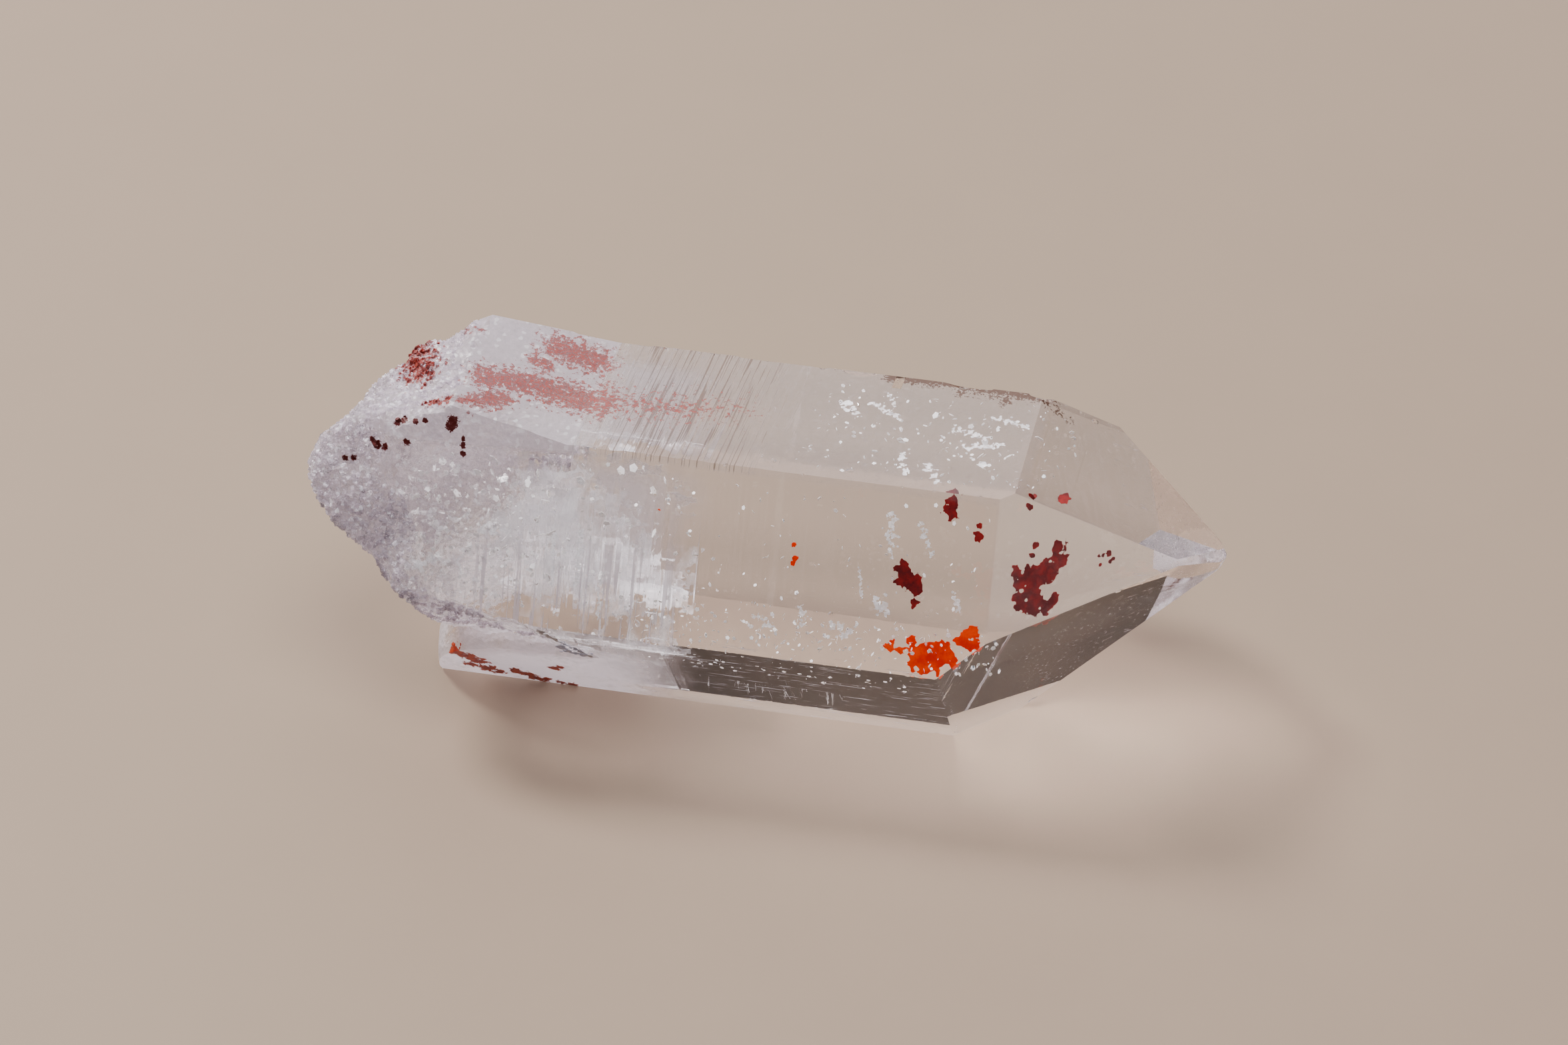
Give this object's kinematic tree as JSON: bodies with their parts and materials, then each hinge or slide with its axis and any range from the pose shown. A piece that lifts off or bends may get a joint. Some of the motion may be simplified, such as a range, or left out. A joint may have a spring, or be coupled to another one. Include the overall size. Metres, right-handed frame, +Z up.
{
  "type": "clear quartz crystal point",
  "caption": "Clear six-sided quartz crystal with a six-faced point, growth ledges, a rough healed end and red iron-oxide films inside; lies on one flat face.",
  "frame": {"origin": "middle of the bounding box, at the level of the face that the crystal rests on", "axes": "+X along the crystal towards its point, +Z up from the resting face, -Y towards the viewer"},
  "size_m": [0.0484, 0.0196, 0.0184],
  "materials": {
    "quartz": "clear and glossy on the crystal faces, frosted and sugary on the rough end",
    "iron_oxide": "matt dark red to orange mineral film inside the crystal",
    "veil": "milky white veils and healed fractures inside the crystal"
  },
  "bodies": {
    "root": {"crystal": "quartz"}
  },
  "joints": []
}
